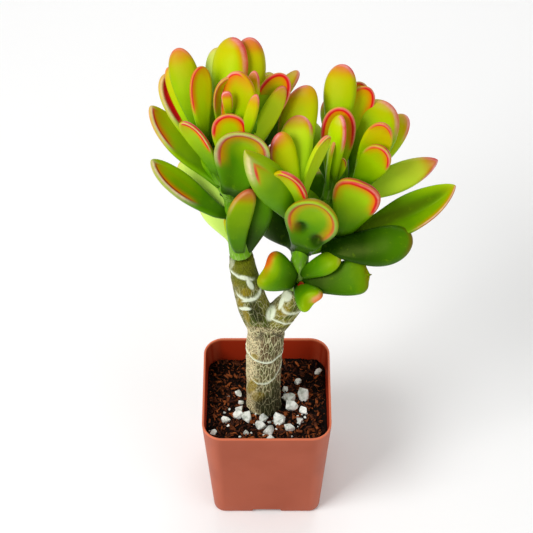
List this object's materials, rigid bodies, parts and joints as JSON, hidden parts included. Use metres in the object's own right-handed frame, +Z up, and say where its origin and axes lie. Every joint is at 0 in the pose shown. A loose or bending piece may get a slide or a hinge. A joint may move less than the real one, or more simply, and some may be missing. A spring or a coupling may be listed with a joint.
{
  "type": "potted jade plant",
  "caption": "Young branching jade plant with thick spoon-shaped leaves rimmed in red, in a small square terracotta-coloured plastic nursery pot of dark potting mix.",
  "frame": {"origin": "middle of the pot's flat underside, on the surface it stands on", "axes": "+Z up, -Y towards the front that the picture shows, +X to the right seen from the front"},
  "size_m": [0.1228, 0.0792, 0.2412],
  "materials": {
    "pot": "satin terracotta-coloured plastic",
    "soil": "dark bark potting mix with pale perlite crumbs",
    "bark": "tan to green bark with pale leaf scars",
    "leaf": "waxy green leaf with yellow to red margin"
  },
  "bodies": {
    "root": {"pot": "pot", "soil": "soil", "trunk": "bark", "left_shoot": "leaf", "right_shoot": "leaf"}
  },
  "joints": []
}
